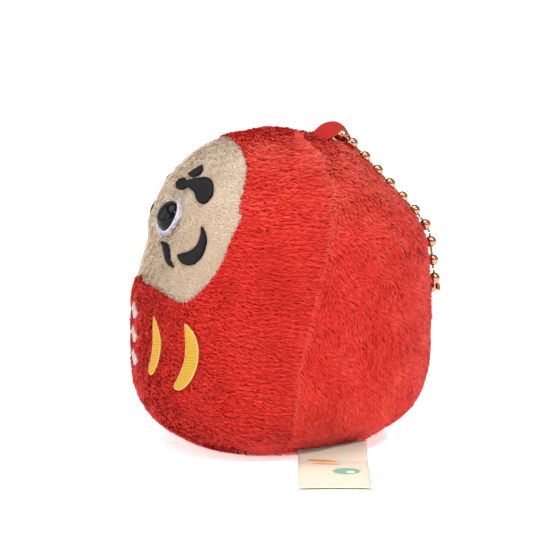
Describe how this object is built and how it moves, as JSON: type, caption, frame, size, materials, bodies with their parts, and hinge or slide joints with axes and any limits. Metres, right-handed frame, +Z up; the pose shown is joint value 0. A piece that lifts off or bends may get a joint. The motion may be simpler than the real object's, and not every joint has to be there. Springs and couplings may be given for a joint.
{
  "type": "daruma doll",
  "caption": "Small round plush daruma mascot with embroidered face, glossy safety eyes, sewn-in ribbon loop with a ball chain, and a satin care label under one side.",
  "frame": {"origin": "centre of the flat base, on the surface that the doll stands on", "axes": "+Z up; the doll faces -Y and its left side is +X"},
  "size_m": [0.0841, 0.0651, 0.0671],
  "materials": {
    "red_plush": "short-pile plush",
    "cream_plush": "very short-pile plush",
    "filling": "loose polyester fibre",
    "black_thread": "satin-stitched thread",
    "yellow_thread": "satin-stitched thread",
    "white_thread": "satin-stitched thread",
    "white_felt": "felt",
    "black_plastic": "high gloss",
    "washer_plastic": "matte",
    "red_satin": "satin ribbon",
    "gold": "polished, pinkish gold plating",
    "label_satin": "satin label tape"
  },
  "bodies": {
    "root": {"face_panel": "cream_plush", "front_panel": "red_plush", "back_panel_left": "red_plush", "back_panel_right": "red_plush", "base_panel": "red_plush", "stuffing": "filling", "eye_left": "black_plastic", "eye_right": "black_plastic", "eye_washer_left": "washer_plastic", "eye_washer_right": "washer_plastic", "eye_white_left": "white_felt", "eye_white_right": "white_felt", "brow_left": "black_thread", "brow_right": "black_thread", "brow_dash_left": "black_thread", "brow_dash_right": "black_thread", "cheek_curl_left": "black_thread", "cheek_curl_right": "black_thread", "moustache_left": "black_thread", "moustache_right": "black_thread", "stripe_inner_left": "yellow_thread", "stripe_inner_right": "yellow_thread", "stripe_outer_left": "yellow_thread", "stripe_outer_right": "yellow_thread", "chest_lozenge_1": "white_thread", "chest_lozenge_2": "white_thread", "chest_lozenge_3": "white_thread", "ribbon_ends": "red_satin", "label_root": "label_satin"},
    "ribbon": {"ribbon_loop": "red_satin"},
    "chain_1": {"chain_top": "gold"},
    "chain_2": {"chain_mid_left": "gold", "chain_mid_right": "gold"},
    "chain_3": {"chain_low_left": "gold", "chain_low_right": "gold", "chain_tail_left": "gold", "chain_clasp": "gold"},
    "chain_end": {"chain_tail_right": "gold"},
    "label": {"label_back_page": "label_satin", "label_front_page": "label_satin"}
  },
  "joints": [
    {"name": "ribbon_tilt", "type": "hinge", "parent": "root", "child": "ribbon", "pos_m": [0.001, 0.005, 0.06549], "axis": [1, 0, 0], "range_deg": [0, 60]},
    {"name": "chain_lift", "type": "hinge", "parent": "ribbon", "child": "chain_1", "pos_m": [0.001, 0.0127, 0.06438], "axis": [1, 0, 0], "range_deg": [0, 120]},
    {"name": "chain_bend_1", "type": "hinge", "parent": "chain_1", "child": "chain_2", "pos_m": [0.001, 0.02896, 0.04725], "axis": [1, 0, 0], "range_deg": [0, 30]},
    {"name": "chain_bend_2", "type": "hinge", "parent": "chain_2", "child": "chain_3", "pos_m": [0.001, 0.03099, 0.04392], "axis": [1, 0, 0], "range_deg": [0, 30]},
    {"name": "chain_unclip", "type": "hinge", "parent": "chain_3", "child": "chain_end", "pos_m": [-0.0035, 0.03188, 0.03618], "axis": [0, 0.9954, 0.0958], "range_deg": [0, 50]},
    {"name": "label_lift", "type": "hinge", "parent": "root", "child": "label", "pos_m": [0.02739, 0.00524, 0.0005], "axis": [-0.2079, -0.9781, 0], "range_deg": [0, 60]}
  ]
}
